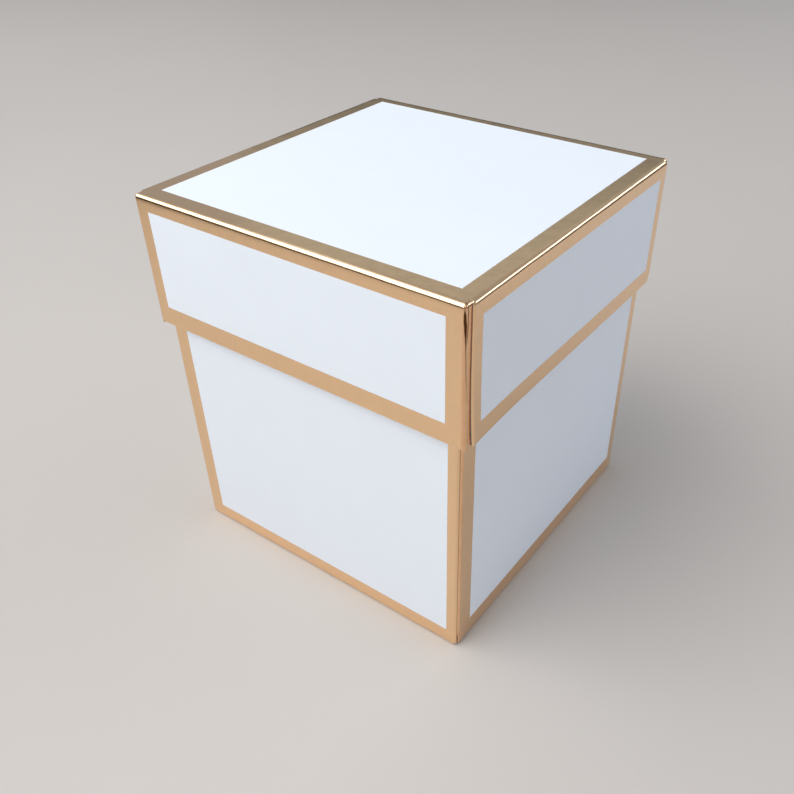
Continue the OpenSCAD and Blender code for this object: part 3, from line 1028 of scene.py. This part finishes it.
class FAVORBOX_OT_stage(bpy.types.Operator):
    """Set the floor, the soft light and the camera"""

    bl_idname = "favorbox.stage"
    bl_label = "Stage"

    def execute(self, context):
        scene, studio = context.scene, context.scene.favorbox_studio
        self.floor()
        world = bpy.data.worlds.new("Studio")
        scene.world = world
        world.use_nodes = True
        background = world.node_tree.nodes["Background"]
        feed(world.node_tree, background, {"Color": shade(studio.sky), "Strength": studio.sky_strength})

        self.lamp("soft_box", studio.key_place, studio.key_size, studio.key, studio.key_power)
        self.lamp(
            "overhead_light", studio.overhead_place, studio.overhead_size, studio.key, studio.overhead_power
        )
        self.lamp("strip_light", studio.rim_place, studio.rim_size, studio.rim, studio.rim_power)
        dark, grey = graded_card("black", studio.card), graded_card("grey", studio.backdrop)
        for name, (place, size, shading) in CARDS.items():
            self.card(name, place, size, grey if name == "card_back" else dark, shading)

        lens = bpy.data.cameras.new("camera")
        lens.lens = studio.lens
        lens.sensor_width = 36
        lens.shift_x, lens.shift_y = studio.shift
        lens.clip_start = 0.01
        camera = linked("camera", lens)
        camera.location = studio.eye
        camera.rotation_euler = studio.turn
        scene.camera = camera
        scene.view_settings.view_transform = "Standard"
        return {"FINISHED"}

    def floor(self):
        """A round floor: a disc under the box, with rings of faces round it."""
        mesh = bpy.data.meshes.new("floor")
        count = FLOOR_POINTS
        turns = [i * math.tau / count for i in range(count)]
        places = [(r * math.cos(t), r * math.sin(t), 0) for r in FLOOR_RINGS for t in turns]
        faces = [list(range(count))]
        for low in range(0, count * (len(FLOOR_RINGS) - 1), count):
            high = low + count
            for i in range(count):
                j = (i + 1) % count
                faces.append((low + i, high + i, high + j, low + j))
        mesh.from_pydata(places, [], faces)
        mesh.materials.append(painted_floor())
        floor = linked("floor", mesh)

    def aimed(self, name, data, place):
        """A new object that stands there and faces the middle of the box."""
        obj = linked(name, data)
        obj.location = place
        middle = Vector((0, 0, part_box("lid_top_foil")[1].z / 2))
        obj.rotation_euler = (middle - Vector(place)).to_track_quat("-Z", "Y").to_euler()
        return obj

    def lamp(self, name, place, size, tint, power):
        lamp = bpy.data.lights.new(name, "AREA")
        lamp.shape = "RECTANGLE"
        lamp.size, lamp.size_y = size
        lamp.energy = power
        lamp.color = tint
        self.aimed(name, lamp, place)

    def card(self, name, place, size, finish, shading):
        """A card outside the picture. The foil mirrors it, and where shading is on it casts a shade."""
        x, y = size[0] / 2, size[1] / 2
        mesh = bpy.data.meshes.new(name)
        mesh.from_pydata([(-x, -y, 0), (x, -y, 0), (x, y, 0), (-x, y, 0)], [], [(0, 1, 2, 3)])
        mesh.materials.append(finish)
        card = self.aimed(name, mesh, place)
        card.visible_camera = False
        card.visible_diffuse = shading
        card.visible_shadow = shading


OPERATORS = (
    FAVORBOX_OT_panel,
    FAVORBOX_OT_covering_walls,
    FAVORBOX_OT_tabbed_walls,
    FAVORBOX_OT_corner_tabs,
    FAVORBOX_OT_liners,
)


class FAVORBOX_PT_sidebar(bpy.types.Panel):
    """Lists the favor box's pieces and its stage"""

    bl_idname = "FAVORBOX_PT_sidebar"
    bl_label = "Favor Box"
    bl_space_type = "VIEW_3D"
    bl_region_type = "UI"
    bl_category = "Favor Box"

    def draw(self, context):
        layout = self.layout
        for pointer in GROUPS:
            group = getattr(context.scene, pointer)
            column = layout.column()
            for name in group.bl_rna.properties.keys():
                if name not in ("rna_type", "name"):
                    column.prop(group, name)
        for item in TRAYS:
            column = layout.column(heading=item[1])
            for operator in OPERATORS:
                column.operator(operator.bl_idname, text=f"{item[1]}: {operator.bl_label}").tray = item[0]
        layout.operator(FAVORBOX_OT_stage.bl_idname)


GROUPS = {
    "favorbox_board": FavorBoxBoard,
    "favorbox_foil": FavorBoxFoil,
    "favorbox_folds": FavorBoxFolds,
    "favorbox_studio": FavorBoxStudio,
}
CLASSES = (*GROUPS.values(), *OPERATORS, FAVORBOX_OT_stage, FAVORBOX_PT_sidebar)


def register():
    for cls in CLASSES:
        bpy.utils.register_class(cls)
    for name, group in GROUPS.items():
        setattr(bpy.types.Scene, name, bpy.props.PointerProperty(type=group))


def unregister():
    for name in GROUPS:
        delattr(bpy.types.Scene, name)
    for cls in reversed(CLASSES):
        bpy.utils.unregister_class(cls)


def main():
    register()
    for tray in ("base", "lid"):
        bpy.ops.favorbox.panel(tray=tray)
        bpy.ops.favorbox.covering_walls(tray=tray)
        bpy.ops.favorbox.tabbed_walls(tray=tray)
        bpy.ops.favorbox.corner_tabs(tray=tray)
        bpy.ops.favorbox.liners(tray=tray)
    bpy.ops.favorbox.stage()


if __name__ == "__main__":
    main()
